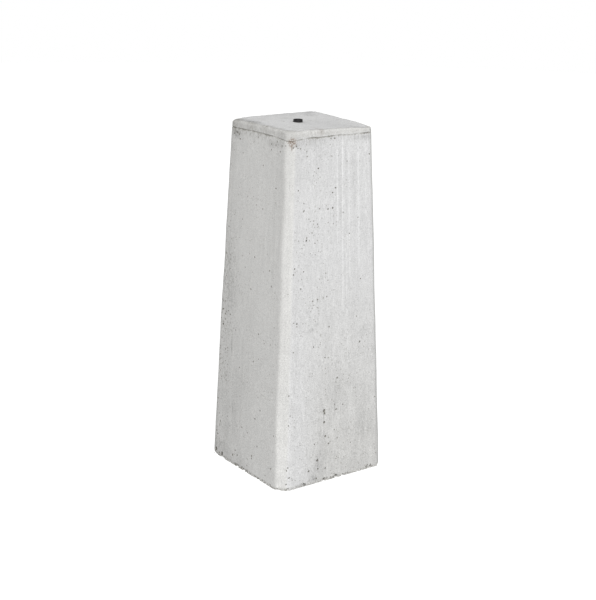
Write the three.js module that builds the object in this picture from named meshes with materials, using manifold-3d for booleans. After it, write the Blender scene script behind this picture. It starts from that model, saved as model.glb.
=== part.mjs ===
// A tapered column base of cast concrete, with a plastic socket in its top.
//
// The block is square and wider at the foot than at the head. Its four corners are
// chamfered, a mould line runs round it just below the rounded top edge, and the edge of
// its foot has crumbled. The socket is cast into the top and takes the stud of a post
// support. Millimetres, +Z up, origin at the middle of the underside.

import * as THREE from "three";
import { mergeVertices } from "three/addons/utils/BufferGeometryUtils.js";
import Module from "manifold-3d";

// The block
const height = 500;
const footWidth = 187; // between opposite faces at the ground
const headWidth = 146; // between opposite faces at the top, before its edge is rounded
const footChamfer = 12.5; // leg of a corner's chamfer at the ground
const headChamfer = 11; // and at the top
const chamferTurn = 4; // length of the soft turn from a face into a chamfer
const shoulderRadius = 5; // of the rounded top edge
const topCornerRadius = 18; // of the flat top's corners, seen from above

// The mould line, a shallow groove round the head
const mouldLineDrop = 12; // from the top down to the middle of the groove
const mouldLineWidth = 1.8;
const mouldLineDepth = 1;

// The crumbled edge of the foot
const wearDepth = 2; // most that it is bitten in, at the ground
const wearHeight = 3; // most that a bite reaches up the face

// The socket
const socketBore = 10;
const socketWall = 1.5;
const socketFloor = 3;
const socketDepth = 80; // from the top of the concrete down to the socket's closed end
const socketRise = 2; // how far its rim stands above the concrete
const socketShift = 7; // how far it was cast off the middle, towards -X
const socketClearance = 0.3; // between the socket and the concrete round it

// How finely curves and long edges are divided
const sideSteps = 28;
const turnSteps = 3;
const shoulderSteps = 4;
const socketSteps = 40;

const origin = new THREE.Vector2(0, 0);
const quarterTurn = Math.PI / 2;
const longestTurn = 0.45; // of a soft turn, as a share of the chamfer that it runs into

// The share of the way up the block that a height is at.
function riseAt(z) {
  return z / height;
}

// The corner of a square at +X, +Y, cut off by a chamfer with a soft turn at either end.
function chamferedCorner(half, chamfer) {
  const start = new THREE.Vector2(half, half - chamfer);
  const end = new THREE.Vector2(half - chamfer, half);
  const turn = Math.min(chamferTurn, longestTurn * start.distanceTo(end));
  const alongSide = new THREE.Vector2(0, turn);
  const alongChamfer = end.clone().sub(start).setLength(turn);
  const alongNextSide = new THREE.Vector2(-turn, 0);
  const intoChamfer = new THREE.QuadraticBezierCurve(
    start.clone().sub(alongSide),
    start,
    start.clone().add(alongChamfer),
  );
  const outOfChamfer = new THREE.QuadraticBezierCurve(
    end.clone().sub(alongChamfer),
    end,
    end.clone().add(alongNextSide),
  );
  return [...intoChamfer.getPoints(turnSteps), ...outOfChamfer.getPoints(turnSteps)];
}

// The same corner rounded, with as many points as the chamfered one.
function roundedCorner(half, radius) {
  const steps = 2 * turnSteps + 1;
  const centre = new THREE.Vector2(half - radius, half - radius);
  const points = [];
  for (let i = 0; i <= steps; i++) {
    const angle = (i / steps) * quarterTurn;
    const spoke = new THREE.Vector2(Math.cos(angle), Math.sin(angle));
    points.push(spoke.multiplyScalar(radius).add(centre));
  }
  return points;
}

// The whole outline that has this corner, anticlockwise, with its straight sides divided.
function outlineWith(corner) {
  const sideStart = corner.at(-1).clone().rotateAround(origin, -quarterTurn);
  const quarter = [];
  for (let i = 1; i < sideSteps; i++) {
    quarter.push(sideStart.clone().lerp(corner[0], i / sideSteps));
  }
  quarter.push(...corner);
  const turns = [0, 1, 2, 3].map((side) => side * quarterTurn);
  return turns.flatMap((turn) => quarter.map((p) => p.clone().rotateAround(origin, turn)));
}

function ringAt(z, outline) {
  return outline.map((p) => new THREE.Vector3(p.x, p.y, z));
}

// The tapering wall at a height, or a ring that stands back from it by inset all round.
function wallRing(z, inset = 0) {
  const half = THREE.MathUtils.lerp(footWidth, headWidth, riseAt(z)) / 2 - inset;
  const fullChamfer = THREE.MathUtils.lerp(footChamfer, headChamfer, riseAt(z));
  const chamfer = fullChamfer - inset * (2 - Math.SQRT2);
  return ringAt(z, outlineWith(chamferedCorner(half, chamfer)));
}

// How badly the foot's edge has crumbled, from 0 to 1, at a share of the way round.
function wearAt(share) {
  const round = 2 * Math.PI * share;
  const broad = Math.sin(5 * round + 0.9) * Math.sin(13 * round + 2.1);
  const fine = Math.sin(31 * round + 0.4);
  return THREE.MathUtils.clamp(0.45 + 0.35 * broad + 0.25 * fine, 0.08, 1);
}

// The ring on the ground, bitten in where the edge has crumbled.
function wornEdgeRing() {
  const ring = wallRing(0);
  return ring.map((p, i) => {
    const bite = wearDepth * wearAt(i / ring.length);
    return p.multiplyScalar(1 - bite / (footWidth / 2));
  });
}

// The ring above it, where the bites run out into the faces.
function wearTopRing() {
  const count = wallRing(0).length;
  const points = [];
  for (let i = 0; i < count; i++) {
    const z = wearHeight * wearAt(i / count);
    points.push(wallRing(z)[i]);
  }
  return points;
}

// The mould line's groove, from its lower lip to its upper one.
function mouldLineRings() {
  const middle = height - mouldLineDrop;
  return [
    wallRing(middle - mouldLineWidth / 2),
    wallRing(middle, mouldLineDepth),
    wallRing(middle + mouldLineWidth / 2),
  ];
}

// The rounded top edge, from the wall's chamfered outline up to the flat top's rounded one.
function shoulderRings() {
  const topHalf = headWidth / 2 - shoulderRadius;
  const flatTop = outlineWith(roundedCorner(topHalf, topCornerRadius));
  const rings = [];
  for (let i = 0; i <= shoulderSteps; i++) {
    const angle = (i / shoulderSteps) * quarterTurn;
    const z = height - shoulderRadius * (1 - Math.sin(angle));
    const top = ringAt(z, flatTop);
    rings.push(wallRing(z).map((p, j) => p.lerp(top[j], 1 - Math.cos(angle))));
  }
  return rings;
}

// A closed skin over rings of equal length, each joined to the next, with flat ends.
function skinOver(rings) {
  const count = rings[0].length;
  const points = rings.flat();
  const bottomCentre = points.push(new THREE.Vector3(0, 0, rings[0][0].z)) - 1;
  const topCentre = points.push(new THREE.Vector3(0, 0, rings.at(-1)[0].z)) - 1;
  const lastRing = (rings.length - 1) * count;
  const faces = [];
  for (let i = 0; i < count; i++) {
    const next = (i + 1) % count;
    for (let low = 0; low < lastRing; low += count) {
      const high = low + count;
      faces.push(low + i, low + next, high + next);
      faces.push(low + i, high + next, high + i);
    }
    faces.push(bottomCentre, next, i);
    faces.push(topCentre, lastRing + i, lastRing + next);
  }
  return new THREE.BufferGeometry().setFromPoints(points).setIndex(faces);
}

const wasm = await Module();
wasm.setup();

function solidFrom(geometry) {
  const bare = geometry.clone();
  bare.deleteAttribute("normal");
  bare.deleteAttribute("uv");
  const merged = mergeVertices(bare);
  return new wasm.Manifold(
    new wasm.Mesh({
      numProp: 3,
      vertProperties: new Float32Array(merged.attributes.position.array),
      triVerts: new Uint32Array(merged.index.array),
    }),
  );
}

function geometryFrom(solid) {
  const mesh = solid.getMesh();
  const geometry = new THREE.BufferGeometry();
  geometry.setAttribute("position", new THREE.BufferAttribute(mesh.vertProperties, 3));
  geometry.setIndex(new THREE.BufferAttribute(mesh.triVerts, 1));
  geometry.computeVertexNormals();
  return geometry;
}

// The hole that the socket stands in, open at the top.
function socketHole() {
  const radius = socketBore / 2 + socketWall + socketClearance;
  const depth = socketDepth + socketClearance;
  const length = depth + socketRise;
  const hole = new THREE.CylinderGeometry(radius, radius, length, socketSteps);
  hole.rotateX(quarterTurn);
  hole.translate(-socketShift, 0, height - depth + length / 2);
  return hole;
}

function concreteBlock() {
  const skin = skinOver([
    wornEdgeRing(),
    wearTopRing(),
    ...mouldLineRings(),
    ...shoulderRings(),
  ]);
  const block = solidFrom(skin).subtract(solidFrom(socketHole()));
  const concrete = new THREE.MeshStandardMaterial({
    color: 0xc9c8c4,
    roughness: 0.9,
    metalness: 0,
  });
  const mesh = new THREE.Mesh(geometryFrom(block), concrete);
  mesh.name = "concrete_block";
  return mesh;
}

// A round cup with a closed end, its rim above the concrete.
function studSocket() {
  const bore = socketBore / 2;
  const outside = bore + socketWall;
  const length = socketDepth + socketRise;
  const profile = [
    new THREE.Vector2(0, 0),
    new THREE.Vector2(outside, 0),
    new THREE.Vector2(outside, length),
    new THREE.Vector2(bore, length),
    new THREE.Vector2(bore, socketFloor),
    new THREE.Vector2(0, socketFloor),
  ];
  const cup = new THREE.LatheGeometry(profile, socketSteps).rotateX(quarterTurn);
  const plastic = new THREE.MeshStandardMaterial({
    color: 0x1b1a1c,
    roughness: 0.55,
    metalness: 0,
  });
  const mesh = new THREE.Mesh(cup, plastic);
  mesh.name = "stud_socket";
  mesh.position.set(-socketShift, 0, height - socketDepth);
  return mesh;
}

const columnBase = new THREE.Group();
columnBase.add(concreteBlock(), studSocket());

export default columnBase;
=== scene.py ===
"""A column base block of cast concrete, with a plastic stud socket in its top.

The file is laid out as an add-on and run as a script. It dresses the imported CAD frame: the
camera and the studio come first, then the block with its mould line, air pits and crumbled
foot, then the threaded socket.
"""

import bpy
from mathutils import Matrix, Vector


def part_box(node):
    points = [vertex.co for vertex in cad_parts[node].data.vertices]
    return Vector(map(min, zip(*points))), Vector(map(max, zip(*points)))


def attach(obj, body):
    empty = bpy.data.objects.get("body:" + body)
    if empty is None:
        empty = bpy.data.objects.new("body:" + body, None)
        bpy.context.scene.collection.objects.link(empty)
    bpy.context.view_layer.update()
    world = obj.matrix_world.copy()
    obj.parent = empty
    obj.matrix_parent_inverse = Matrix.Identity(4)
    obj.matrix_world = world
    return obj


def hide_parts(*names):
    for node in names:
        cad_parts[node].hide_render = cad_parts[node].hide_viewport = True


bl_info = {
    "name": "Column Base Block",
    "version": (1, 0, 0),
    "blender": (4, 5, 0),
    "location": "View3D > Sidebar > Column Base",
    "description": "Casts a tapered concrete column base with a stud socket in its top",
    "category": "Add Mesh",
}

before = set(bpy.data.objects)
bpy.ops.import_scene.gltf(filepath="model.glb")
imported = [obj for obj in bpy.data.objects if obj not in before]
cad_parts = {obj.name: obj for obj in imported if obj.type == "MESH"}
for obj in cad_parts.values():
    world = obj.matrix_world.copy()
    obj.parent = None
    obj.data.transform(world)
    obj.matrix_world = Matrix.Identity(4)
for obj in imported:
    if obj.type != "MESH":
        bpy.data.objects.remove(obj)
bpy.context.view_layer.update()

import math

import bpy
from bpy.props import FloatProperty, FloatVectorProperty, IntProperty, PointerProperty
from mathutils import Matrix, Vector

MM = 0.001
block_low, block_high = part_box("concrete_block")
socket_low, socket_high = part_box("stud_socket")

# The picture that the camera is set for, its focal length and the middle that its line of sight
# meets, all in pixels, and the camera's sensor in millimetres, which spans the picture's height
PICTURE_WIDTH = 596
PICTURE_HEIGHT = 600
FOCAL_LENGTH = 1261.5
PICTURE_MIDDLE = (298.8, 294.8)
SENSOR = 36.0

# The hole that the socket stands in, the thickness of the socket's closed end, its thread's
# start below the rim and its root's depth in the wall of the bore, and the socket's middle
HOLE_RADIUS = 6.8 * MM
HOLE_DEPTH = 80.3 * MM
HOLE_MARGIN = 6 * MM
SOCKET_FLOOR = 3 * MM
THREAD_START = 0.6 * MM
THREAD_ROOT_DEPTH = 0.2 * MM
SOCKET_X = (socket_low.x + socket_high.x) / 2
SOCKET_Y = (socket_low.y + socket_high.y) / 2

# How finely the block's skin is divided, and the share of its rows below the rounded edge
CELLS_ACROSS = 68
ROWS = 190
SHOULDER_ROW = 0.94

# How far from the middle the patterns of the skin are drawn, and the most pits and chips to a
# square metre
PATTERN_REACH = 90 * MM
PITS_PER_AREA = 22000.0
CHIPS_PER_AREA = 180000.0

# Larger air pits, as (along the face, height, radius) in millimetres. The front right face is
# the one towards -Y, measured along X, and the front left one is towards -X, along Y.
PITS_FRONT_RIGHT = (
    (-59, 420, 1.1), (-2, 412, 1.2), (-2, 391, 1.5), (-50, 402, 1.0), (-50, 392, 1.3),
    (-24, 392, 1.3), (16, 383, 1.2), (-20, 379, 0.9), (-65, 364, 0.9), (-32, 346, 1.1),
    (-66, 315, 1.2), (-68, 307, 1.2), (-56, 286, 1.3), (47, 286, 1.1), (-36, 266, 1.5),
    (-28, 267, 1.2), (-12, 269, 1.2), (-68, 240, 1.1), (40, 233, 1.2), (46, 195, 1.5),
    (-69, 199, 1.2), (6, 149, 1.4), (-78, 138, 1.2), (-17, 105, 2.6), (-16, 101, 1.9),
    (-17, 88, 1.8), (-15, 67, 1.8), (-9, 55, 1.4), (4, 103, 1.5), (6, 60, 1.4), (1, 73, 1.1),
    (-34, 59, 1.3), (-29, 34, 2.0), (-28, 21, 1.5), (-44, 21, 1.6), (-15, 19, 1.3),
    (-80, 95, 1.2), (-80, 34, 1.4), (-83, 30, 1.1), (-78, 19, 1.4), (-75, 109, 1.0),
    (61, 459, 1.4), (-59, 476, 1.0), (-55, 475, 1.1), (-45, 471, 0.9), (-44, 464, 0.9),
    (-5, 485, 1.2), (1.5, 485, 1.3), (-1, 2.5, 1.8), (3, 2.5, 1.8), (-31, 7, 1.4),
    (82, 3, 2.0), (-67, 477, 1.2), (-62, 479, 1.2), (-84, 10, 1.4),
)
PITS_FRONT_LEFT = (
    (-4, 390, 1.1), (-19, 387, 1.3), (-31, 396, 1.0), (-5, 317, 1.5), (68, 203, 2.0),
    (35, 202, 1.5), (-28, 120, 1.1), (-5, 60, 1.5), (30, 14, 2.0), (-19, 29, 1.8),
    (-67, 27, 1.6), (74, 9, 3.0), (66, 5, 2.0), (-8, 11, 1.3), (-8, 21, 1.2), (58, 7, 2.6),
    (5, 3, 2.2), (24, 23, 1.6), (66, 54, 1.9), (70, 66, 1.2), (77, 88, 1.4), (76, 80, 1.3),
    (78, 70, 1.3), (75, 37, 1.6), (78, 140, 1.4), (77, 132, 1.3), (60, 265, 1.2),
    (62, 219, 1.3), (64, 238, 1.3), (55, 288, 1.2), (66, 298, 1.2), (69, 309, 1.1),
    (58, 480, 1.3), (45, 480, 1.4), (41, 482, 1.2), (-33, 477, 1.2), (-43, 477, 1.3),
    (-57, 478, 1.3), (-33, 470, 1.1), (64, 436, 1.3), (-46, 482, 1.3), (-20, 487, 1.2),
    (-54, 470, 1.0), (-1, 482, 1.1), (34, 487, 1.1), (51, 482, 1.6), (72, 33, 1.6),
    (-65, 479, 1.1),
)

# Smudges, as (along the face, height, half width, half height, darkness). On the top they are
# (along X, along Y, half width, half depth, darkness).
SMUDGES_FRONT_RIGHT = (
    (51, 70, 15, 60, 0.13), (-38, 225, 7, 5, 0.24), (-30, 232, 9, 4, 0.14), (-36, 10, 10, 9, 0.2),
    (-18, 45, 16, 55, 0.08), (55, 212, 14, 16, 0.08), (5, 130, 12, 60, 0.06), (56, 482, 14, 6, 0.22),
    (-62, 480, 13, 5, 0.12), (-30, 28, 7, 20, 0.16), (-62, 3, 16, 5, 0.2), (40, 483, 16, 4, 0.12),
    (-25, 468, 55, 50, 0.05), (-38, 483, 36, 12, 0.08), (-10, 16, 75, 22, 0.05),
    (1, 2.5, 8, 2.4, 0.6), (-31, 6, 8, 6, 0.26),
)
SMUDGES_FRONT_LEFT = (
    (52, 480, 15, 9, 0.36), (-40, 478, 25, 8, 0.18), (80, 240, 10, 110, 0.14), (80, 60, 14, 90, 0.1),
    (60, 18, 30, 14, 0.12), (28, 110, 14, 80, 0.09), (74, 430, 9, 60, 0.07), (50, 250, 12, 60, 0.06),
    (30, 2, 75, 26, 0.09), (42, 470, 40, 32, 0.04),
)
# The long thin smudge along the front edge of the top, at (-8, -69), is painted shade where the top
# rounds over its edge
SMUDGES_TOP = (
    (42, 40, 16, 14, 0.16), (28, -20, 20, 12, 0.1), (-8, -69, 62, 4, 0.2), (-66, 22, 13, 36, 0.34),
    (-68, -30, 8, 46, 0.24), (-45, 67, 30, 5, 0.12), (50, -63, 22, 7, 0.1), (-69, 58, 14, 18, 0.35),
    (52, 58, 16, 14, 0.24), (-64, 36, 14, 28, 0.14), (15, 66, 40, 8, 0.12),
)

# Where the front chamfer is narrower or wider than the others, as (height, reach up and down,
# change of its leg) in millimetres
FRONT_CHAMFER_CHANGES = ((405, 52, -2.6), (275, 45, -1.2), (160, 30, -0.4), (100, 60, 2.6))

# Grimy spots on the edge of the head, as (X, Y, Z, radius) in millimetres and their darkness
HEAD_SPOTS = (
    ((-69, 58, 494, 20), 0.55), ((-70, 18, 499, 17), 0.45), ((-71, -14, 498, 14), 0.28),
    ((-62, -62, 498, 9), 0.15),
)

# The middle of the rust at the front corner, in metres, and its drip and a brown spot on the
# head, which are placed as smudges are
RUST_PLACE = (-0.0665, -0.0705, 0.4835)
RUST_DRIP = (3.5, 478, 2.6, 8, 0.9)
BROWN_SPOT = (-20, 496, 7, 9, 0.16)

# The colour of stone that shows where the foot has broken away
LIGHT_STONE = (0.82, 0.81, 0.79, 1.0)

# Fine upright lines, as (along the face at the top, top, along the face at the end, end,
# half width, brightness), where more than 0 is lighter than the face and less is darker. On the
# front chamfer they are placed by how far a point is from its middle, towards the right.
LINES_FRONT_RIGHT = (
    (5.5, 476, 6.5, 330, 1.3, 0.11), (14.5, 487, 16, 240, 1.4, 0.13), (25, 474, 28, 290, 1.5, 0.09),
    (41, 478, 44, 300, 2.6, 0.08), (53, 478, 56, 370, 2.0, 0.06), (10, 482, 11, 370, 3.0, -0.05),
    (20, 480, 22, 350, 2.6, -0.05), (33, 470, 36, 360, 4.0, -0.04), (22, 330, 24, 150, 1.0, 0.08),
    (-18, 112, -17, 60, 1.0, -0.22), (1, 120, 2, 90, 0.9, -0.18), (10, 250, 12, 100, 3.5, -0.03),
    (-5, 488, -5, 480, 1.1, -0.45), (1.5, 488, 1.5, 482, 1.1, -0.4), (-29, 45, -28, 20, 1.1, -0.2),
    (-19, 499, -22, 489, 1.6, -0.14),
)
LINES_FRONT_LEFT = (
    (44, 191, 43, 163, 1.2, -0.4), (36, 128, 33, 40, 0.7, -0.12), (35, 90, 34, 74, 0.9, -0.35),
    (76, 300, 74, 190, 0.9, -0.2), (58, 330, 57, 210, 1.6, -0.08), (60, 470, 58, 330, 2.5, -0.04),
    (15, 200, 14, 60, 3.0, -0.05), (-21, 489, -21, 480, 1.1, -0.4), (-49, 488, -49, 482, 1.1, -0.35),
    (29, 470, 29, 455, 0.9, -0.12), (23, 456, 23, 440, 0.9, -0.12), (4, 484, 4, 474, 1.2, -0.16),
)
LINES_FRONT_CHAMFER = (
    (1.5, 436, 1.5, 420, 1.2, -0.3), (3.5, 455, 3.5, 440, 1.2, -0.14), (8, 478, 8, 240, 3.5, 0.035),
    (0, 240, -1, 150, 1.2, -0.05), (2, 110, 2, 60, 1.0, -0.06),
)


# Small tools for building node trees

class Field:
    """A number that nodes work out, so that a formula reads as plain arithmetic."""

    def __init__(self, socket):
        self.socket = socket

    def worked(self, operation, *others):
        node = self.socket.id_data.nodes.new("ShaderNodeMath")
        node.operation = operation
        for place, value in enumerate((self, *others)):
            fill(node.inputs[place], value)
        return Field(node.outputs[0])

    def __add__(self, other):
        return self.worked("ADD", other)

    def __sub__(self, other):
        return self.worked("SUBTRACT", other)

    def __mul__(self, other):
        return self.worked("MULTIPLY", other)

    def __truediv__(self, other):
        return self.worked("DIVIDE", other)

    def __pow__(self, other):
        return self.worked("POWER", other)

    def __abs__(self):
        return self.worked("ABSOLUTE")

    def __neg__(self):
        return self * -1

    def __rsub__(self, other):
        return -self + other

    def __rtruediv__(self, other):
        return self ** -1 * other

    __radd__ = __add__
    __rmul__ = __mul__

    def at_least(self, other):
        return self.worked("MAXIMUM", other)

    def at_most(self, other):
        return self.worked("MINIMUM", other)


def fill(socket, value):
    """Gives a node's input socket a plain value, or joins it to the socket that supplies one."""
    if isinstance(value, Field):
        value = value.socket
    if isinstance(value, bpy.types.NodeSocket):
        socket.id_data.links.new(value, socket)
    else:
        socket.default_value = value


def add_node(tree, kind, inputs=None, **settings):
    """A new node with its settings made and its input sockets, by name or number, filled."""
    node = tree.nodes.new(kind)
    for name, value in settings.items():
        setattr(node, name, value)
    for name, value in (inputs or {}).items():
        fill(node.inputs[name], value)
    return node


def with_value(tree, geometry, name, value):
    """Geometry that keeps a number on each of its points, under a name."""
    node = add_node(
        tree,
        "GeometryNodeStoreNamedAttribute",
        {"Geometry": geometry, "Name": name, "Value": value},
        data_type="FLOAT",
        domain="POINT",
    )
    return node.outputs[0]


def kept_value(tree, name):
    """The number that a mesh's points keep under a name, for a material."""
    return Field(add_node(tree, "ShaderNodeAttribute", attribute_name=name).outputs["Fac"])


def parts_of(vector):
    """The three numbers of a vector."""
    split = add_node(vector.id_data, "ShaderNodeSeparateXYZ", {0: vector})
    return [Field(socket) for socket in split.outputs]


def vector_of(tree, x, y, z):
    """A vector made from three numbers."""
    return add_node(tree, "ShaderNodeCombineXYZ", {0: x, 1: y, 2: z}).outputs[0]


def span(value, start, end, smooth=False):
    """How far a value has come from start to end, from 0 to 1 and no further either way."""
    node = add_node(
        value.socket.id_data,
        "ShaderNodeMapRange",
        {"Value": value, "From Min": start, "From Max": end},
        interpolation_type="SMOOTHSTEP" if smooth else "LINEAR",
    )
    return Field(node.outputs[0])


def distance(place, point):
    """How far a place is from a fixed point."""
    node = add_node(place.id_data, "ShaderNodeVectorMath", {0: place, 1: point}, operation="DISTANCE")
    return Field(node.outputs["Value"])


def noise(place, size, seed, detail=2.0, roughness=0.5):
    """Cloudy unevenness about zero. Its size is one length, or three along X, Y and Z."""
    sizes = size if isinstance(size, tuple) else (size, size, size)
    start = (17.3 * seed, 5.9 * seed, 11.7 * seed)
    scaled = add_node(
        place.id_data,
        "ShaderNodeVectorMath",
        {0: place, 1: [1 / side for side in sizes], 2: start},
        operation="MULTIPLY_ADD",
    )
    cloud = add_node(
        place.id_data,
        "ShaderNodeTexNoise",
        {"Vector": scaled.outputs[0], "Scale": 1.0, "Detail": detail, "Roughness": roughness},
    )
    return Field(cloud.outputs[0]) * 2 - 1


# The settings that a user would change

def length_setting(name, description, default, least=0.0):
    """A length in metres."""
    return FloatProperty(
        name=name, description=description, default=default, min=least, unit="LENGTH")


def angle_setting(name, description, degrees):
    """An angle, given here in degrees."""
    return FloatProperty(
        name=name, description=description, default=math.radians(degrees), subtype="ANGLE")


def colour_setting(name, description, default):
    """A colour in red, green and blue."""
    return FloatVectorProperty(
        name=name,
        description=description,
        default=(*default, 1.0),
        size=4,
        min=0.0,
        max=1.0,
        subtype="COLOR",
    )


class BlockSettings(bpy.types.PropertyGroup):
    """Sizes and colours of the concrete block."""

    height: length_setting("Height", "From the ground to the flat top", block_high.z, 0.1)
    foot_width: length_setting(
        "Foot Width", "Between opposite faces at the ground", block_high.x - block_low.x, 0.05)
    head_width: length_setting(
        "Head Width",
        "Between opposite faces at the top, before its edge is rounded",
        146 * MM,
        0.05,
    )
    foot_chamfer: length_setting(
        "Foot Chamfer", "Leg of a corner's chamfer at the ground", 12.5 * MM)
    head_chamfer: length_setting("Head Chamfer", "Leg of a corner's chamfer at the top", 11 * MM)
    chamfer_softness: length_setting(
        "Chamfer Softness", "How softly a face turns into a chamfer", 2.2 * MM)
    shoulder_radius: length_setting(
        "Shoulder Radius", "Radius of the rounded top edge", 5 * MM, 0.001)
    top_corner_radius: length_setting(
        "Top Corner Radius", "Radius of the flat top's corners, seen from above", 18 * MM, 0.001)
    mould_line_drop: length_setting(
        "Mould Line Drop", "From the top down to the mould line", 12 * MM)
    mould_line_width: length_setting(
        "Mould Line Width", "Width of the mould line's groove", 2.0 * MM, 0.0002)
    mould_line_depth: length_setting(
        "Mould Line Depth", "Depth of the mould line's groove where it is deepest", 1.8 * MM)
    unevenness: length_setting(
        "Unevenness", "How far the cast faces wander in and out", 0.6 * MM)
    foot_wear: length_setting(
        "Foot Wear", "How far the edge of the foot has crumbled away", 2.0 * MM)
    smallest_pit: length_setting(
        "Smallest Pit", "Radius of the smallest scattered air pit", 0.5 * MM, 0.0001)
    largest_pit: length_setting(
        "Largest Pit", "Radius of the largest scattered air pit", 1.6 * MM, 0.0001)
    pit_spacing: length_setting(
        "Pit Spacing", "Least distance between scattered air pits", 3.5 * MM, 0.001)
    seed: IntProperty(name="Seed", description="Starts the scatter of pits and chips", default=7)
    concrete_colour: colour_setting(
        "Concrete", "Colour of clean cast concrete", (0.605, 0.602, 0.588))
    cool_colour: colour_setting(
        "Cool Concrete",
        "Colour of the cleaner concrete on the front right face",
        (0.604, 0.604, 0.603),
    )
    # The dirt colour also paints shade: in the pits, in the pinholes and as a shadow along the foot
    dirt_and_shade_colour: colour_setting(
        "Dirt", "Colour of the grime on the head and in the pits", (0.19, 0.18, 0.15))
    rust_colour: colour_setting(
        "Rust", "Colour of the rust stain on the mould line", (0.165, 0.105, 0.068))


class SocketSettings(bpy.types.PropertyGroup):
    """Sizes and colour of the plastic stud socket."""

    outer_radius: length_setting(
        "Outer Radius", "Radius of the socket outside", (socket_high.x - socket_low.x) / 2, 0.001)
    bore_radius: length_setting("Bore Radius", "Radius of the socket's bore", 5 * MM, 0.001)
    thread_pitch: length_setting(
        "Thread Pitch", "From one turn of the thread to the next", 1.5 * MM, 0.0005)
    thread_depth: length_setting(
        "Thread Depth", "From the crest of the thread down to its root", 0.45 * MM)
    plastic_colour: colour_setting(
        "Plastic", "Colour of the moulded plastic", (0.014, 0.013, 0.014))


class StudioSettings(bpy.types.PropertyGroup):
    """Floor, light and camera of the studio."""

    floor_radius: length_setting("Floor Radius", "Radius of the round floor", 6.0, 0.5)
    floor_colour: colour_setting("Floor", "Colour of the plain floor", (0.35, 0.35, 0.35))
    floor_glow: FloatProperty(
        name="Floor Glow",
        description="Light that the floor gives by itself, which keeps its shadows faint",
        default=0.85,
        min=0.0,
    )
    room_light: FloatProperty(
        name="Room Light", description="Even light from all round", default=0.585, min=0.0)
    key_power: FloatProperty(
        name="Key Power",
        description="Power of the large soft lamp",
        default=378.0,
        min=0.0,
        unit="POWER",
    )
    key_azimuth: angle_setting(
        "Key Azimuth", "Direction of the lamp, turned from the front towards the right", -27.7)
    key_elevation: angle_setting("Key Elevation", "Height of the lamp above the horizon", 32.3)
    camera_azimuth: angle_setting(
        "Camera Azimuth", "Direction of the camera, turned from the front to the right", -36.05)
    camera_elevation: angle_setting(
        "Camera Elevation", "Height of the camera above the horizon", 15.8)
    camera_roll: angle_setting(
        "Camera Roll", "Turn of the camera about its own line of sight", 1.08)
    camera_distance: length_setting(
        "Camera Distance", "From the camera to the middle of the block", 1.8063, 0.1)


# The concrete block

def add_inputs(tree, settings, names):
    """Named inputs on a tree, one for each setting. Returns their fields and identifiers."""
    properties = settings.bl_rna.properties
    kinds = {"FLOAT": "NodeSocketFloat", "INT": "NodeSocketInt"}
    identifiers = {}
    for name in names:
        setting = properties[name]
        socket = tree.interface.new_socket(
            setting.name, in_out="INPUT", socket_type=kinds[setting.type])
        if setting.type == "FLOAT":
            socket.subtype = "DISTANCE"
        socket.default_value = setting.default
        identifiers[name] = socket.identifier
    source = tree.nodes.new("NodeGroupInput")
    fields = {name: Field(source.outputs[properties[name].name]) for name in names}
    return source, fields, identifiers


def row_heights(row, seam, shoulder):
    """The height of a row of points on the walls, and how far it has come over the shoulder.

    The rows are close together at the foot and along the mould line.
    """
    levels = (
        (0.00, 0.0),
        (0.07, 12 * MM),
        (0.77, seam - 9 * MM),
        (0.80, seam - 3.5 * MM),
        (0.92, seam + 3.5 * MM),
        (SHOULDER_ROW, shoulder),
    )
    height = 0
    for (low_row, low), (high_row, high) in zip(levels, levels[1:]):
        height = span(row, low_row, high_row) * (high - low) + height
    return height, span(row, SHOULDER_ROW, 1.0)


def chamfer_leg(tree, size, round_x, round_y, height):
    """The leg of a corner's chamfer, which wavers from one height to the next."""
    rise = height / size["height"]
    leg = size["foot_chamfer"] + (size["head_chamfer"] - size["foot_chamfer"]) * rise
    corner = vector_of(
        tree,
        round_x.worked("SIGN") * PATTERN_REACH,
        round_y.worked("SIGN") * PATTERN_REACH,
        height,
    )
    leg = leg + noise(corner, (0.05, 0.05, 0.06), 3) * 1.6 * MM
    # The left corner was struck off less than the others, above its foot
    left_corner = span(round_y - round_x, 1.7, 1.95) * span(height, 0.08, 0.2)
    leg = leg - left_corner * 3.5 * MM
    front_corner = span(-round_x - round_y, 1.7, 1.95)
    for middle, reach_up, change in FRONT_CHAMFER_CHANGES:
        near = span(abs(height - middle * MM), reach_up * MM, 0.0, True)
        leg = leg + front_corner * near * change * MM
    return leg - front_corner * span(height, 0.1, 0.25) * 2.0 * MM


def plain_wall(tree, size, round_x, round_y, height):
    """How far the tapering wall and its chamfers stand from the middle."""
    rise = height / size["height"]
    half = (size["foot_width"] + (size["head_width"] - size["foot_width"]) * rise) * 0.5
    leg = chamfer_leg(tree, size, round_x, round_y, height)
    chamfered = (half * 2 - leg) / (abs(round_x) + abs(round_y))
    return half.worked("SMOOTH_MIN", chamfered, size["chamfer_softness"])


def foot_bite(size, around, height):
    """How far the crumbled edge of the foot stands back."""
    crumble = noise(around, (0.005, 0.005, 0.003), 5, detail=3, roughness=0.7) * 1.3
    crumble = crumble + noise(around, (0.03, 0.03, 0.5), 6) * 0.5
    bitten_up = size["foot_wear"] * (crumble + 0.2).at_least(0.1)
    return (1 - height / bitten_up).at_least(0) * crumble.at_least(0.05) * size["foot_wear"]


def lumps_at(place, seed):
    """Small lumps along the edges of the head, from 0 up."""
    return (noise(place, 0.009, seed, detail=3) * 0.9 + 0.2).at_least(0)


def flat_top(size, round_x, round_y, inset):
    """How far the flat top reaches, a square with rounded corners drawn in one sweep."""
    top_half = size["head_width"] * 0.5 - size["shoulder_radius"]
    back_corner = span(round_x + round_y, 0.6, 1.9)
    corner_radius = size["top_corner_radius"] * (1 - back_corner * 0.85)
    corner_cut = 1 - corner_radius * (1 - math.sqrt(0.5)) / top_half
    power = -math.log(2) / corner_cut.worked("LOGARITHM", math.e)
    spread = (abs(round_x) ** power + abs(round_y) ** power) ** (1 / power.at_least(1))
    return (top_half - inset) / spread


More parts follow.
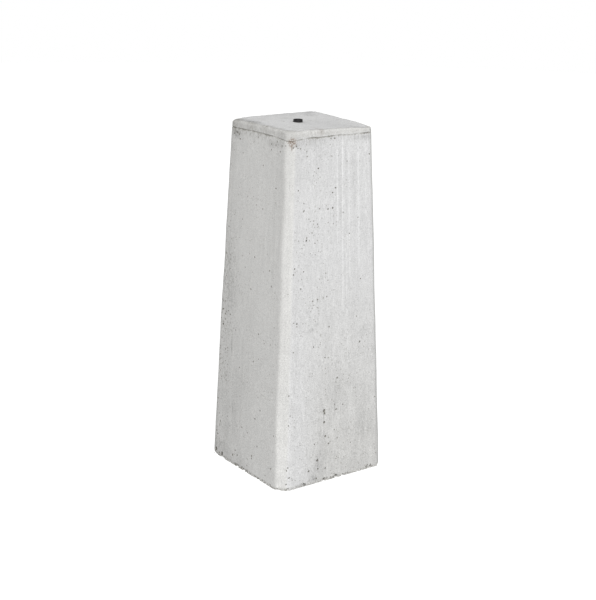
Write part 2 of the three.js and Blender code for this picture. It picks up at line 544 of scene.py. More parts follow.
def line_wander(flat_place, wall_height, seam):
    """How far the mould line wanders up and down, with a dip at the front corner."""
    front = distance(flat_place, (-0.07, -0.07, 0.0))
    wander = noise(flat_place, 0.03, 8) * 1.2 * MM - span(front, 0.03, 0.003) * 3.0 * MM
    below = span(wall_height, seam - 9 * MM, seam - 3 * MM, True)
    above = span(wall_height, seam + 7 * MM, seam + 2 * MM, True)
    return wander * (below * above)


def head_droop(flat_place, x, y):
    """How far the head droops at its sides. It rises towards the back corner."""
    right = distance(flat_place, (0.07, -0.07, 0.0))
    left = distance(flat_place, (-0.07, 0.07, 0.0))
    droop = span(right, 0.12, 0.03) * 2.6 * MM + span(right, 0.045, 0.004, True) * 2.4 * MM
    return droop + span(left, 0.035, 0.004, True) * 1.2 * MM - (x + y) * 0.008


def top_sink(flat_place, reach, to_flat, over_shoulder):
    """How far the flat top lies below its height: uneven, and a little hollow in its middle."""
    hollow = span(distance(flat_place, (SOCKET_X, SOCKET_Y, 0.0)), 0.06, 0.0, True)
    sink = (noise(flat_place, 0.035, 9) * 0.5 + 0.35 + hollow * 0.8).at_least(0) * to_flat * MM
    edge_lumps = lumps_at(flat_place, 25) * span(reach, 0.8, 0.95)
    return sink + edge_lumps * span(over_shoulder, 0.2, 0.7) * MM


def block_skin(tree, size):
    """The skin of the block: a divided cube whose points are moved to the cast form."""
    cube = add_node(tree, "GeometryNodeMeshCube", {
        "Size": (2.0, 2.0, 2.0),
        "Vertices X": CELLS_ACROSS + 1,
        "Vertices Y": CELLS_ACROSS + 1,
        "Vertices Z": ROWS + 1,
    })
    cube_x, cube_y, cube_z = parts_of(add_node(tree, "GeometryNodeInputPosition").outputs[0])

    # Round the block, reach is 1 on the walls and falls to 0 in the middle of either end
    reach = abs(cube_x).at_least(abs(cube_y)).at_least(0.0001)
    round_x = cube_x / reach
    round_y = cube_y / reach
    seam = size["height"] - size["mould_line_drop"]
    shoulder = size["height"] - size["shoulder_radius"]
    wall_height, over_shoulder = row_heights(cube_z * 0.5 + 0.5, seam, shoulder)
    turn = over_shoulder * (math.pi / 2)
    height = wall_height + turn.worked("SINE") * size["shoulder_radius"]
    to_flat = 1 - turn.worked("COSINE")
    around = vector_of(tree, round_x * PATTERN_REACH, round_y * PATTERN_REACH, height)

    # The cast faces wander, always inwards
    swell = noise(around, 0.09, 1, detail=1) * 0.5 + noise(around, 0.016, 2) * 0.16
    inset = size["unevenness"] * (0.85 + swell)

    # The mould line, deeper in some places than in others, and the lumpy head above it
    line_share = span(noise(around, 0.012, 4, detail=5, roughness=0.75), -0.22, 0.25)
    from_line = abs(wall_height - seam) / (size["mould_line_width"] * 0.5)
    groove = (1 - from_line).at_least(0) * line_share * size["mould_line_depth"]
    lumps = lumps_at(around, 24) * span(wall_height, seam, seam + 2 * MM) * 0.6 * MM

    bite = foot_bite(size, around, height)
    wall = plain_wall(tree, size, round_x, round_y, height) - inset - groove - bite - lumps
    out = (wall + (flat_top(size, round_x, round_y, inset) - wall) * to_flat) * reach
    x = round_x * out
    y = round_y * out

    # Up and down
    flat_place = vector_of(tree, x, y, 0.0)
    head_rise = span(wall_height, seam + 2 * MM, shoulder) * 0.5 + over_shoulder * 0.5
    droop = head_droop(flat_place, x, y) * head_rise
    sink = top_sink(flat_place, reach, to_flat, over_shoulder)
    z = height + line_wander(flat_place, wall_height, seam) - droop - sink

    # The material reads these off the skin's points
    skin = with_value(tree, cube.outputs["Mesh"], "line_depth", line_share)
    skin = with_value(tree, skin, "above_line", wall_height - seam)
    skin = with_value(tree, skin, "flatness", to_flat)
    moved = add_node(tree, "GeometryNodeSetPosition", {
        "Geometry": skin, "Position": vector_of(tree, x, y, z)})
    return moved.outputs[0]


def rough_ball(tree, divisions, dents, seed):
    """A small uneven ball of radius 1, which leaves a pit where it is cut out."""
    ball = add_node(tree, "GeometryNodeMeshIcoSphere", {"Radius": 1.0, "Subdivisions": divisions})
    place = add_node(tree, "GeometryNodeInputPosition").outputs[0]
    dent = noise(place, 0.9, seed) * dents
    offset = add_node(
        tree, "ShaderNodeVectorMath", {0: place, "Scale": dent}, operation="SCALE")
    dented = add_node(tree, "GeometryNodeSetPosition", {
        "Geometry": ball.outputs["Mesh"], "Offset": offset.outputs[0]})
    return dented.outputs[0]


def random_between(tree, low, high, seed):
    """A random number for each point. A float random value has its sockets at 2 and 3."""
    node = add_node(
        tree, "FunctionNodeRandomValue", {2: low, 3: high, "Seed": seed}, data_type="FLOAT")
    return Field(node.outputs[1])


def balls_on(tree, points, ball, radius, seed):
    """A ball on each point, turned at random and a little flattened."""
    angles = [random_between(tree, 0.0, 2 * math.pi, seed + step) for step in range(3)]
    flattened = radius * random_between(tree, 0.6, 1.0, seed + 3)
    placed = add_node(tree, "GeometryNodeInstanceOnPoints", {
        "Points": points,
        "Instance": ball,
        "Rotation": vector_of(tree, *angles),
        "Scale": vector_of(tree, radius, radius, flattened),
    })
    return placed.outputs[0]


def points_on(tree, skin, chosen, spacing, density, factor, seed):
    """Points scattered over the chosen part of the skin, never closer than the spacing."""
    scatter = add_node(
        tree,
        "GeometryNodeDistributePointsOnFaces",
        {
            "Mesh": skin,
            "Selection": chosen,
            "Distance Min": spacing,
            "Density Max": density,
            "Density Factor": factor,
            "Seed": seed,
        },
        distribute_method="POISSON",
    )
    return scatter.outputs["Points"]


def scattered_pits(tree, skin, size):
    """Pits in clusters, with more beside the left corner and few on the front chamfer."""
    place = add_node(tree, "GeometryNodeInputPosition").outputs[0]
    x, y, height = parts_of(place)
    clusters = span(noise(place, 0.045, 11), -0.25, 0.45) * 0.25 + 0.05
    clusters = clusters + span(height, 0.05, 0.0) * 0.4
    beside_left = span(y - x, 0.12, 0.155) * span(height, 0.40, 0.30)
    clusters = clusters + beside_left * 0.9 * span(-x, 0.0, 0.04)
    front_chamfer = span(-(x + y) / abs(x).at_least(abs(y)), 1.78, 1.86)
    clusters = clusters * (1 - front_chamfer * 0.85) * (1 - span(height, 0.40, 0.44) * 0.6)
    # The right half of the front right face is denser, but for its foot
    denser = span(x, 0.0, 0.02) * span(-y, 0.06, 0.07) * span(height, 0.15, 0.25)
    clusters = clusters * (1 - denser * 0.7)
    above_foot = height.worked("GREATER_THAN", 4 * MM)
    points = points_on(
        tree, skin, above_foot, size["pit_spacing"], PITS_PER_AREA, clusters, size["seed"])
    skew = random_between(tree, 0.0, 1.0, 21) ** 3.5
    radius = size["smallest_pit"] + (size["largest_pit"] - size["smallest_pit"]) * skew
    return balls_on(tree, points, rough_ball(tree, 1, 1.1, 12), radius, 22)


def chosen_pits(tree, skin, marks):
    """Larger pits at chosen places, drawn onto the skin."""
    nearest = add_node(tree, "GeometryNodeProximity", {"Target": skin})
    drawn = add_node(tree, "GeometryNodeSetPosition", {
        "Geometry": marks, "Position": nearest.outputs["Position"]})
    own_radius = add_node(
        tree, "GeometryNodeInputNamedAttribute", {"Name": "radius"}, data_type="FLOAT")
    ball = rough_ball(tree, 2, 0.6, 13)
    return balls_on(tree, drawn.outputs[0], ball, Field(own_radius.outputs[0]), 32)


def foot_chips(tree, skin, size):
    """Chips along the edge of the foot, larger towards the left corner."""
    place = add_node(tree, "GeometryNodeInputPosition").outputs[0]
    x, y, height = parts_of(place)
    low = height.worked("LESS_THAN", 3 * MM)
    normal = add_node(tree, "GeometryNodeInputNormal").outputs[0]
    sideways = parts_of(normal)[2].worked("GREATER_THAN", -0.9)
    points = points_on(
        tree, skin, low * sideways, 2.4 * MM, CHIPS_PER_AREA, 1.0, size["seed"])
    coarseness = noise(place, 0.018, 14, detail=3) * 1.8 + 0.75 + span(y - x, 0.02, 0.09) * 0.35
    share = (random_between(tree, 0.3, 1.0, 41) ** 2.5) * coarseness.at_least(0.25) * 2.1
    radius = (share * size["foot_wear"]).at_most(3.2 * MM) + 0.5 * MM
    return balls_on(tree, points, rough_ball(tree, 2, 1.3, 15), radius, 42)


def socket_hole(tree):
    """The hole that the socket stands in."""
    hole = add_node(tree, "GeometryNodeMeshCylinder", {
        "Vertices": 64, "Radius": HOLE_RADIUS, "Depth": HOLE_DEPTH + HOLE_MARGIN})
    placed = add_node(tree, "GeometryNodeTransform", {
        "Geometry": hole.outputs["Mesh"],
        "Translation": (SOCKET_X, SOCKET_Y, block_high.z + (HOLE_MARGIN - HOLE_DEPTH) / 2),
    })
    return placed.outputs[0]


def block_tree(settings):
    """The tree that casts the block. What comes in is a point for each larger air pit."""
    tree = bpy.data.node_groups.new("cast block", "GeometryNodeTree")
    tree.interface.new_socket("Pits", in_out="INPUT", socket_type="NodeSocketGeometry")
    tree.interface.new_socket("Concrete", in_out="INPUT", socket_type="NodeSocketMaterial")
    tree.interface.new_socket("Block", in_out="OUTPUT", socket_type="NodeSocketGeometry")
    names = [name for name in BlockSettings.__annotations__ if not name.endswith("colour")]
    source, size, identifiers = add_inputs(tree, settings, names)
    skin = block_skin(tree, size)
    cutters = (
        scattered_pits(tree, skin, size),
        chosen_pits(tree, skin, source.outputs["Pits"]),
        foot_chips(tree, skin, size),
        socket_hole(tree),
    )
    cut = add_node(
        tree,
        "GeometryNodeMeshBoolean",
        {"Mesh 1": skin},
        operation="DIFFERENCE",
        solver="MANIFOLD",
    )
    for cutter in cutters:
        tree.links.new(cutter, cut.inputs["Mesh 2"])

    # How deep each point lies below the uncut skin, for the dirt and painted shade in the pits
    uncut = add_node(tree, "GeometryNodeProximity", {"Target": skin})
    marked = with_value(tree, cut.outputs["Mesh"], "sunk", uncut.outputs["Distance"])
    smooth = add_node(tree, "GeometryNodeSetShadeSmooth", {"Geometry": marked})
    real = add_node(tree, "GeometryNodeRealizeInstances", {"Geometry": smooth.outputs[0]})
    finished = add_node(tree, "GeometryNodeSetMaterial", {
        "Geometry": real.outputs[0], "Material": source.outputs["Concrete"]})
    add_node(tree, "NodeGroupOutput", {"Block": finished.outputs[0]})
    return tree, identifiers


def pit_points(settings):
    """A mesh of loose points at the larger pits, each with its radius."""
    places = []
    radii = []
    for marks, left in ((PITS_FRONT_RIGHT, False), (PITS_FRONT_LEFT, True)):
        for along, height, radius in marks:
            share = height * MM / settings.height
            half = (settings.foot_width * (1 - share) + settings.head_width * share) / 2
            across = (-half, along * MM) if left else (along * MM, -half)
            places.append((*across, height * MM))
            radii.append(radius * MM)
    mesh = bpy.data.meshes.new("pit marks")
    mesh.from_pydata(places, [], [])
    mesh.attributes.new("radius", "FLOAT", "POINT").data.foreach_set("value", radii)
    return mesh


def mixed(share, first, second):
    """A colour between two others."""
    node = add_node(
        share.socket.id_data, "ShaderNodeMix", {0: share, 6: first, 7: second}, data_type="RGBA")
    return node.outputs[2]


def shaded(colour, brightness):
    """A colour, a socket or three numbers, made brighter or darker by a field."""
    node = add_node(
        brightness.socket.id_data,
        "ShaderNodeVectorMath",
        {0: colour, "Scale": brightness},
        operation="SCALE",
    )
    return node.outputs[0]


def new_material(name):
    """A material with its tree, its shader and the place that its patterns are drawn by."""
    material = bpy.data.materials.new(name)
    material.use_nodes = True
    tree = material.node_tree
    shader = tree.nodes["Principled BSDF"]
    place = add_node(tree, "ShaderNodeTexCoord").outputs["Object"]
    return material, tree, shader, place


def specks(place, spacing, radius, share, seed):
    """Small round specks. The share says how many of the cells, a spacing wide, hold one."""
    scaled = add_node(
        place.id_data,
        "ShaderNodeVectorMath",
        {0: place, 1: [1 / spacing] * 3, 2: (3.1 * seed, 7.7 * seed, 5.3 * seed)},
        operation="MULTIPLY_ADD",
    )
    cells = add_node(place.id_data, "ShaderNodeTexVoronoi", {"Vector": scaled.outputs[0], "Scale": 1.0})
    chance = parts_of(cells.outputs["Color"])[0]
    reach = span(chance, 1 - share, 1.0) * (radius / spacing)
    return span(Field(cells.outputs["Distance"]), reach, reach * 0.4)


def smudge(along, height, mark):
    """How strongly a soft patch shows, from 0 to 1 times its darkness."""
    centre, middle, half_width, half_height, darkness = mark
    sideways = (along - centre * MM) / (half_width * MM)
    upwards = (height - middle * MM) / (half_height * MM)
    from_centre = (sideways * sideways + upwards * upwards) ** 0.5
    return span(from_centre, 1.0, 0.15, True) * darkness


def upright_line(along, height, mark):
    """How strongly a fine line shows, from 0 to 1 times its brightness."""
    top_along, top, end_along, end, half_width, brightness = mark
    lean = (end_along - top_along) / (end - top)
    off_line = abs(along - (height - top * MM) * lean - top_along * MM)
    lengthwise = span(height, end * MM, (end + 8) * MM) * span(height, top * MM, (top - 8) * MM)
    return span(off_line, half_width * MM, 0.2 * half_width * MM) * lengthwise * brightness


def summed(marks, along, height, draw):
    """All marks of one kind on a face, drawn and added together."""
    total = 0
    for mark in marks:
        total = draw(along, height, mark) + total
    return total


class Zones:
    """Where a point lies on the block, and how far it belongs to each part, from 0 to 1."""

    def __init__(self, tree, place):
        self.tree = tree
        self.place = place
        x, y, z = parts_of(place)
        self.x, self.y, self.z = x, y, z
        self.on_right = span(-y - abs(x), 8 * MM, 12 * MM)
        self.on_left = span(-x - abs(y), 8 * MM, 12 * MM)
        self.on_chamfer = span(-(x + y) / abs(x).at_least(abs(y)), 1.78, 1.86)
        self.flatness = kept_value(tree, "flatness")
        self.on_top = span(self.flatness, 0.2, 0.9)
        self.on_wall = 1 - self.on_top
        self.left_side = span(y - x, 0.11, 0.14)
        # Near the ground, but for the front chamfer and the faces next to it
        off_front = span(x, -0.06, -0.015) * self.on_right
        off_front = off_front + span(y, -0.03, 0.02) * self.on_left
        elsewhere = (1 - self.on_right - self.on_left).at_least(0)
        off_front = off_front + elsewhere * span(x + y, -0.13, -0.08)
        self.low = span(z, 0.32, 0.05) * off_front


def cast_tone(zones):
    """The brightness of clean concrete, with its mottles, its grain and its streaks."""
    place = zones.place
    clouds = noise(place, 0.05, 1, detail=3) * 0.05
    mottles = noise(place, (0.007, 0.007, 0.014), 2, detail=3, roughness=0.6) * 0.08
    coarse = span(zones.z, 0.3, 0.1) * 0.2 + 0.45
    grain = noise(place, 1.5 * MM, 3, detail=3, roughness=0.8) * coarse
    upright_grain = noise(place, (1.5 * MM, 1.5 * MM, 9 * MM), 18, detail=3)
    grain = grain + upright_grain * zones.on_right * 0.16
    # Streaks where the concrete ran down the mould, in some places only
    streaky = span(noise(place, (0.05, 0.05, 0.15), 13), -0.2, 0.4) * zones.on_wall
    streaks = noise(place, (0.006, 0.006, 0.16), 4, detail=4, roughness=0.7) * 0.15
    fine_streaks = noise(place, (0.002, 0.002, 0.05), 5, detail=2) * (0.09 - zones.on_left * 0.05)
    return 1 + clouds + mottles + grain + (streaks + fine_streaks) * (streaky * 0.8 + 0.2)


def aged_and_lit_tone(zones, tone):
    """The brightness, darker towards the ground and changed along the edges, with painted light on the
    right corner and painted light and shade on the top.
    """
    x, y, z = zones.x, zones.y, zones.z
    blotches = span(noise(zones.place, (0.02, 0.02, 0.06), 6, detail=4, roughness=0.6), -0.3, 0.3)
    tone = tone * (1 - zones.low * (blotches * 0.12 + 0.05) * (zones.on_right * 0.3 + 0.7))
    left_corner = span((y - x) / abs(x).at_least(abs(y)), 1.87, 1.95) * span(z, 0.3, 0.2)
    left_strip = zones.left_side * (0.06 - span(z, 0.28, 0.2) * 0.06) + left_corner * 0.08
    upper_chamfer = span(x + y, -0.115, -0.13) * span(z, 0.40, 0.44) * 0.06
    upper_chamfer = upper_chamfer + zones.on_chamfer * (span(z, 0.05, 0.45) * 0.036 - 0.022)
    # Painted light on the right corner, which is made lighter than the face beside it
    from_right_edge = span(-y - x, 22 * MM, 8 * MM) * 0.03 + span(-y - x, 10 * MM, 0.0) * 0.06
    right_edge_painted_light = from_right_edge * span(x, 0.0, 0.03) * (span(z, 0.05, 0.2) * 0.5 + 0.5)
    # Painted light and shade on the flat top: lighter overall, darker towards +X
    top_painted_light_and_shade = span(zones.flatness, 0.8, 1.0) * (0.05 - span(x, -0.02, 0.04) * 0.125)
    return tone * (1 - left_strip - upper_chamfer + right_edge_painted_light + top_painted_light_and_shade)


def marked_tone(zones, tone):
    """The brightness with the smudges, one of them painted shade along the top's front edge, the fine
    lines and the scars drawn on it.
    """
    x, y, z = zones.x, zones.y, zones.z
    dark = summed(SMUDGES_FRONT_RIGHT, x, z, smudge) * zones.on_right
    dark = dark + summed(SMUDGES_FRONT_LEFT, y, z, smudge) * zones.on_left
    dark = dark + summed(SMUDGES_TOP, x, y, smudge) * zones.on_top
    lines = summed(LINES_FRONT_RIGHT, x, z, upright_line) * zones.on_right
    lines = lines + summed(LINES_FRONT_LEFT, y, z, upright_line) * zones.on_left
    lines = lines + summed(LINES_FRONT_CHAMFER, x - y, z, upright_line) * zones.on_chamfer
    # Scars where the mould tore the face beside the left corner
    tears = noise(zones.place, (2.5 * MM, 2.5 * MM, 7 * MM), 19, detail=4, roughness=0.7)
    torn = span(tears, -0.05, 0.2) * zones.left_side
    scars = torn * span(z, 0.37, 0.3) * (0.24 - span(z, 0.25, 0.2) * 0.16)
    ragged = span(noise(zones.place, 3 * MM, 14, detail=3, roughness=0.7), -0.4, 0.35) * 1.4
    return tone * (1 - dark * ragged - scars) * (1 + lines * (ragged * 0.8 + 0.5))


def pinhole_pattern(zones):
    """Pinholes, thicker where the mix was poorer and beside the left corner."""
    x, y, z, place = zones.x, zones.y, zones.z, zones.place
    poorer = span(noise(place, 0.03, 15, detail=2), -0.2, 0.35)
    pinholes = specks(place, 4.5 * MM, 1.4 * MM, 0.5, 1) * (poorer * 0.8 + 0.2)
    pinholes = pinholes + specks(place, 2.8 * MM, 1.4 * MM, 0.3, 2) * (poorer * 0.7 + 0.25)
    denser = zones.on_right * span(x, 0.0, 0.02) * span(z, 0.15, 0.25)
    pinholes = pinholes * (zones.on_right * 0.3 + 0.55) * (1 - zones.on_chamfer * 0.5)
    worst = span(y - x, 0.11, 0.15) * span(z, 0.41, 0.31) * (span(z, 0.1, 0.2) * 0.7 + 0.3)
    return pinholes * (1 - denser * 0.5) + specks(place, 3.6 * MM, 2.3 * MM, 0.5, 3) * worst * 0.8


def grime_shares(zones):
    """How much dirt there is on the head, the mould line and the top, one layer at a time."""
    place = zones.place
    above = kept_value(zones.tree, "above_line")
    deep = kept_value(zones.tree, "line_depth")
    head = span(above, 0.0, 2 * MM) * span(zones.flatness, 1.0, 0.5)
    head_grime = span(noise(place, 0.005, 7, detail=4, roughness=0.7), -0.3, 0.45)
    yield head * (head_grime * 0.32 + 0.04) * (1 - zones.on_right * 0.4)

    # In the mould line and seeping down from it
    off_line = abs(above + noise(place, 2.5 * MM, 17, detail=2) * 1.5 * MM)
    yield span(off_line, 1.5 * MM, 0.4 * MM) * (deep * 0.9 + 0.1) * 0.85
    under_line = span(above, -14 * MM, -1 * MM, True) * span(above, 1 * MM, -0.5 * MM)
    seep = span(noise(place, (0.003, 0.003, 0.008), 16, detail=4, roughness=0.75), -0.05, 0.3)
    yield under_line * seep * (zones.on_left * 0.2 + 0.4)

    top_grime = span(noise(place, 0.02, 8, detail=5, roughness=0.7), 0.0, 0.5)
    yield zones.on_top * top_grime * 0.2
    # The rounded edge between the walls and the top is rough and holds more grime
    rounded = span(zones.flatness, 0.0, 0.4) * span(zones.flatness, 1.0, 0.9)
    rough_edge = span(noise(place, 3 * MM, 20, detail=4, roughness=0.7), -0.1, 0.4)
    yield rounded * rough_edge * (0.42 - zones.on_right * 0.14)
    for (spot_x, spot_y, spot_z, radius), darkness in HEAD_SPOTS:
        from_spot = distance(place, (spot_x * MM, spot_y * MM, spot_z * MM))
        spot = span(from_spot, radius * MM, 0.15 * radius * MM, True)
        yield spot * (rough_edge * 0.7 + 0.3) * darkness


def rust_shares(zones):
    """How much rust there is at the front corner, with a drip below it, and a brown spot."""
    flecks = noise(zones.place, (1.6 * MM, 1.6 * MM, 2.2 * MM), 23, detail=3, roughness=0.7)
    speckled = span(flecks, -0.15, 0.1)
    from_corner = distance(zones.place, RUST_PLACE)
    rust = span(from_corner, 0.0085, 0.003, True) * speckled
    drip = smudge(zones.x - zones.y, zones.z, RUST_DRIP) * zones.on_chamfer
    yield rust.at_least(drip * (speckled * 0.6 + 0.4)) * 0.85
    yield smudge(zones.x, zones.z, BROWN_SPOT) * span(zones.y, -0.04, -0.06)


def broken_colour(zones, colour, dirt):
    """The colour with dirt and painted shade in the pits, a painted shadow along the foot, and light
    stone where it broke.
    """
    z, place = zones.z, zones.place
    sunk = kept_value(zones.tree, "sunk")
    broken = span(noise(place, (4 * MM, 4 * MM, 2 * MM), 21, detail=3, roughness=0.7), -0.2, 0.2)
    # Dirt and painted shade in the pits, the deepest always dark
    pit_dark_share = (span(z, 2.5 * MM, 4.5 * MM) * 0.85).at_least(broken * (0.9 - zones.on_right * 0.25))
    pit_dark_share = pit_dark_share.at_least(span(sunk, 1.2 * MM, 2.0 * MM) * 0.85)
    pit_dirt_and_shade = span(sunk, 0.08 * MM, 0.55 * MM) * pit_dark_share
    # A painted shadow along the undercut edge of the foot
    foot_shadow_line = span(z, 5.5 * MM, 1.0 * MM) * (broken * 0.65 + 0.12) * (1 - zones.on_right * 0.25)
    # Painted shade: the deeper a pit sinks, the darker it is painted
    pit_dirt_and_shade_colour = shaded(dirt[:3], 1 - span(sunk, 0.6 * MM, 1.5 * MM) * 0.6)
    colour = mixed(pit_dirt_and_shade.at_least(foot_shadow_line), colour, pit_dirt_and_shade_colour)
    # The light stone reaches higher at the front corner
    front_foot = span(distance(place, (-0.084, -0.084, 0.0)), 0.02, 0.01) * 6 * MM
    bared = span(noise(place, 2.2 * MM, 22, detail=2), 0.05, 0.22)
    return mixed(bared * span(z - front_foot, 5 * MM, 2 * MM) * 0.5, colour, LIGHT_STONE)


def concrete_material(settings):
    """Light grey cast concrete with mottles, streaks, pinholes, grime and a rust stain, with painted
    shade in the pits and pinholes, a painted shadow along the foot and painted light and shade on the
    top and the right corner.
    """
    material, tree, shader, place = new_material("cast concrete")
    zones = Zones(tree, place)
    tone = marked_tone(zones, aged_and_lit_tone(zones, cast_tone(zones)))
    below_head = span(zones.z, 0.492, 0.486)
    cool_share = zones.on_right * below_head * (1 - zones.low)
    cool = mixed(
        cool_share.at_least(zones.on_top), settings.concrete_colour, settings.cool_colour)
    colour = shaded(cool, tone)
    pinholes = pinhole_pattern(zones)
    # The pinholes take the dirt colour: dirt and painted shade in the holes
    for share in ((pinholes * zones.on_wall).at_most(0.75), *grime_shares(zones)):
        colour = mixed(share, colour, settings.dirt_and_shade_colour)
    for share in rust_shares(zones):
        colour = mixed(share, colour, settings.rust_colour)
    fill(shader.inputs["Base Color"], broken_colour(zones, colour, settings.dirt_and_shade_colour))

    # Matt, with a sandy skin
    fill(shader.inputs["Roughness"], 0.88 + noise(place, 0.008, 10) * 0.1)
    sand = noise(place, 1.2 * MM, 11, detail=3, roughness=0.7) + noise(place, 4 * MM, 12) * 0.8
    bump = add_node(tree, "ShaderNodeBump", {
        "Strength": 0.5, "Distance": 0.4 * MM, "Height": sand - pinholes})
    fill(shader.inputs["Normal"], bump.outputs[0])
    shader.inputs["Specular IOR Level"].default_value = 0.3
    return material


def finish_piece(piece, node):
    """Makes a piece ride on the block's body and stand for its node."""
    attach(piece, "root")
    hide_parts(node)


def new_object(name, mesh):
    piece = bpy.data.objects.new(name, mesh)
    bpy.context.scene.collection.objects.link(piece)
    return piece


class CastBlock(bpy.types.Operator):
    """Cast the tapered concrete block with its mould line, air pits and crumbled foot"""

    bl_idname = "column_base.cast_block"
    bl_label = "Cast Block"

    def execute(self, context):
        settings = context.scene.column_base_block
        block = new_object("cast_block", pit_points(settings))
        tree, identifiers = block_tree(settings)
        modifier = block.modifiers.new("cast block", "NODES")
        modifier.node_group = tree
        for name, identifier in identifiers.items():
            modifier[identifier] = getattr(settings, name)
        material_socket = tree.interface.items_tree["Concrete"].identifier
        modifier[material_socket] = concrete_material(settings)
        evaluated = block.evaluated_get(context.evaluated_depsgraph_get())
        cast = bpy.data.meshes.new_from_object(evaluated)
        if len(cast.polygons) == 0:
            raise RuntimeError("the block's tree made no faces")
        block.modifiers.remove(modifier)
        block.data = cast
        cast.name = "cast_block"
        cast.set_sharp_from_angle(angle=math.radians(40))
        finish_piece(block, "concrete_block")
        return {"FINISHED"}


# The stud socket

def thread_radius(settings, angle, drop):
    """The bore's radius at an angle and a distance down from the rim, on a screw thread."""
    turn = (drop / settings.thread_pitch + angle / (2 * math.pi)) % 1.0
    ridge = 1 - abs(2 * turn - 1)
    run_in = min(1.0, max(0.0, (drop - THREAD_START) / settings.thread_pitch))
    root = settings.bore_radius + THREAD_ROOT_DEPTH
    return root - settings.thread_depth * min(1.0, ridge * 1.4) * run_in


def socket_rings(settings):
    """Rings of (radius, height), from the foot outside, over the rim and down the bore."""
    top = socket_high.z
    outer = settings.outer_radius
    lip = 0.5 * MM
    rings = [(outer - 0.4 * MM, socket_low.z), (outer, socket_low.z + 0.4 * MM)]
    for step in range(5):
        turn = step / 4 * math.pi / 2
        rings.append((outer - lip * (1 - math.cos(turn)), top - lip * (1 - math.sin(turn))))
    rings.append((settings.bore_radius + 0.7 * MM, top))
    rings.append((settings.bore_radius + 0.25 * MM, top - 0.5 * MM))
    return rings


def socket_mesh(settings):
    """A closed cup with a rounded rim and a threaded bore."""
    sides = 64
    thread_length = 26 * MM
    thread_rows = 110
    floor = socket_low.z + SOCKET_FLOOR
    angles = [2 * math.pi * side / sides for side in range(sides)]
    rings = [[(radius, height)] * sides for radius, height in socket_rings(settings)]
    for row in range(thread_rows + 1):
        drop = THREAD_START + thread_length * row / thread_rows
        height = socket_high.z - drop
        rings.append([(thread_radius(settings, angle, drop), height) for angle in angles])
    rings.append([(settings.bore_radius, socket_high.z - thread_length - 2 * MM)] * sides)
    rings.append([(settings.bore_radius, floor)] * sides)
    points = [
        (SOCKET_X + radius * math.cos(angle), SOCKET_Y + radius * math.sin(angle), height)
        for ring in rings
        for angle, (radius, height) in zip(angles, ring)
    ]
    faces = [
        (low + side, low + (side + 1) % sides, low + sides + (side + 1) % sides, low + sides + side)
        for low in range(0, (len(rings) - 1) * sides, sides)
        for side in range(sides)
    ]
    faces.append(tuple(reversed(range(sides))))
    faces.append(tuple(range(len(points) - sides, len(points))))
    mesh = bpy.data.meshes.new("threaded_socket")
    mesh.from_pydata(points, [], faces)
    mesh.shade_smooth()
    mesh.set_sharp_from_angle(angle=math.radians(40))
    return mesh


def plastic_material(settings):
    """Black moulded plastic, matt, with a little cement dust on it."""
    material, tree, shader, place = new_material("black moulded plastic")
    dust = span(noise(place, 1.2 * MM, 1, detail=3, roughness=0.6), 0.0, 0.6) * 0.05
    tone = 1 + noise(place, 3 * MM, 2) * 0.3
    colour = shaded(settings.plastic_colour[:3], tone)
    fill(shader.inputs["Base Color"], mixed(dust, colour, (0.3, 0.3, 0.29, 1.0)))
    fill(shader.inputs["Roughness"], 0.62 + noise(place, 2 * MM, 3) * 0.15)
    bump = add_node(tree, "ShaderNodeBump", {
        "Strength": 0.3, "Distance": 0.1 * MM, "Height": noise(place, 0.4 * MM, 4)})
    fill(shader.inputs["Normal"], bump.outputs[0])
    shader.inputs["Specular IOR Level"].default_value = 0.25
    return material


class MouldSocket(bpy.types.Operator):
    """Mould the black plastic socket that takes a stud in the top of the block"""

    bl_idname = "column_base.mould_socket"
    bl_label = "Mould Socket"

    def execute(self, context):
        settings = context.scene.column_base_socket
        socket = new_object("threaded_socket", socket_mesh(settings))
        socket.data.materials.append(plastic_material(settings))
        finish_piece(socket, "stud_socket")
        return {"FINISHED"}


# The studio

def direction(azimuth, elevation):
    """The way from the block towards a camera or lamp."""
    level = math.cos(elevation)
    return Vector((math.sin(azimuth) * level, -math.cos(azimuth) * level, math.sin(elevation)))


def looking_back(back, roll=0.0):
    """The turn of a camera or lamp that looks along the opposite of back."""
    right = Vector((0, 0, 1)).cross(back).normalized()
    up = back.cross(right)
    rolled_right = right * math.cos(roll) + up * math.sin(roll)
    rolled_up = up * math.cos(roll) - right * math.sin(roll)
    return Matrix((rolled_right, rolled_up, back)).transposed().to_4x4()


def set_camera(settings):
    """The camera, placed and aimed as in the photograph."""
    middle_x, middle_y = PICTURE_MIDDLE
    lens = bpy.data.cameras.new("camera")
    lens.sensor_width = SENSOR
    lens.lens = SENSOR * FOCAL_LENGTH / PICTURE_HEIGHT
    lens.shift_x = (PICTURE_WIDTH / 2 - middle_x) / PICTURE_HEIGHT
    lens.shift_y = (middle_y - PICTURE_HEIGHT / 2) / PICTURE_HEIGHT
    camera = new_object("camera", lens)
    back = direction(settings.camera_azimuth, settings.camera_elevation)
    target = Vector((0, 0, block_high.z / 2))
    place = Matrix.Translation(target + back * settings.camera_distance)
    camera.matrix_world = place @ looking_back(back, settings.camera_roll)
    bpy.context.scene.camera = camera


def set_floor(settings):
    """A plain round floor. It is left out of the light that falls on the block."""
    sides = 96
    radius = settings.floor_radius
    angles = [2 * math.pi * side / sides for side in range(sides)]
    rim = [(radius * math.cos(angle), radius * math.sin(angle), 0) for angle in angles]
    mesh = bpy.data.meshes.new("studio_floor")
    mesh.from_pydata(rim, [], [tuple(range(sides))])
    floor = new_object("studio_floor", mesh)
    material, _, shader, _ = new_material("plain floor")
    shader.inputs["Base Color"].default_value = settings.floor_colour
    shader.inputs["Roughness"].default_value = 1.0
    shader.inputs["Specular IOR Level"].default_value = 0.0
    shader.inputs["Emission Color"].default_value = (1.0, 1.0, 1.0, 1.0)
    shader.inputs["Emission Strength"].default_value = settings.floor_glow
    mesh.materials.append(material)
    floor.visible_diffuse = False
    floor.visible_glossy = False


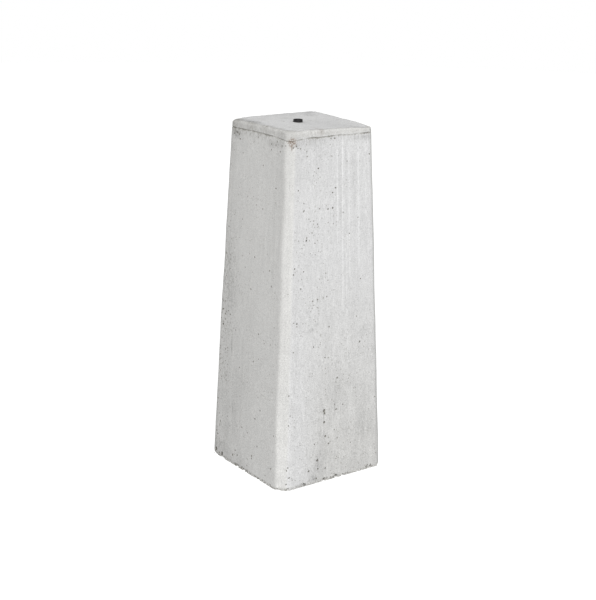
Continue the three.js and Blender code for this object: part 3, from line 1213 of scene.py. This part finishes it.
def set_lights(settings):
    """Even light from all round, a white background and one large soft lamp."""
    lamp_width = 2.4
    lamp_distance = 7.0
    world = bpy.data.worlds.new("studio")
    world.use_nodes = True
    bpy.context.scene.world = world
    tree = world.node_tree
    seen = add_node(tree, "ShaderNodeLightPath").outputs["Is Camera Ray"]
    strength = Field(seen) * (1.0 - settings.room_light) + settings.room_light
    fill(tree.nodes["Background"].inputs["Color"], (1.0, 1.0, 1.0, 1.0))
    fill(tree.nodes["Background"].inputs["Strength"], strength)

    lamp = bpy.data.lights.new("soft_key", "AREA")
    lamp.shape = "DISK"
    lamp.size = lamp_width
    lamp.energy = settings.key_power
    key = new_object("soft_key", lamp)
    back = direction(settings.key_azimuth, settings.key_elevation)
    place = Matrix.Translation(Vector((0, 0, block_high.z / 2)) + back * lamp_distance)
    key.matrix_world = place @ looking_back(back)


class SetStudio(bpy.types.Operator):
    """Set up the camera, the pale floor and the soft studio light"""

    bl_idname = "column_base.set_studio"
    bl_label = "Set Studio"

    def execute(self, context):
        settings = context.scene.column_base_studio
        set_camera(settings)
        set_floor(settings)
        set_lights(settings)
        context.scene.view_settings.view_transform = "Standard"
        context.scene.view_settings.look = "None"
        return {"FINISHED"}


# The panel and the registration

class ColumnBasePanel(bpy.types.Panel):
    """Lists the settings and the steps of the column base"""

    bl_idname = "VIEW3D_PT_column_base"
    bl_label = "Column Base"
    bl_space_type = "VIEW_3D"
    bl_region_type = "UI"
    bl_category = "Column Base"

    def draw(self, context):
        for group_name, step in STEPS:
            box = self.layout.box()
            box.operator(step.bl_idname)
            group = getattr(context.scene, group_name)
            for name in group.__annotations__:
                box.prop(group, name)


STEPS = (
    ("column_base_studio", SetStudio),
    ("column_base_block", CastBlock),
    ("column_base_socket", MouldSocket),
)
GROUPS = {
    "column_base_studio": StudioSettings,
    "column_base_block": BlockSettings,
    "column_base_socket": SocketSettings,
}
CLASSES = (*GROUPS.values(), *(step for _, step in STEPS), ColumnBasePanel)


def register():
    for cls in CLASSES:
        bpy.utils.register_class(cls)
    for name, group in GROUPS.items():
        setattr(bpy.types.Scene, name, PointerProperty(type=group))


def unregister():
    for name in GROUPS:
        delattr(bpy.types.Scene, name)
    for cls in reversed(CLASSES):
        bpy.utils.unregister_class(cls)


def main():
    register()
    bpy.ops.column_base.set_studio()
    bpy.ops.column_base.cast_block()
    bpy.ops.column_base.mould_socket()


if __name__ == "__main__":
    main()
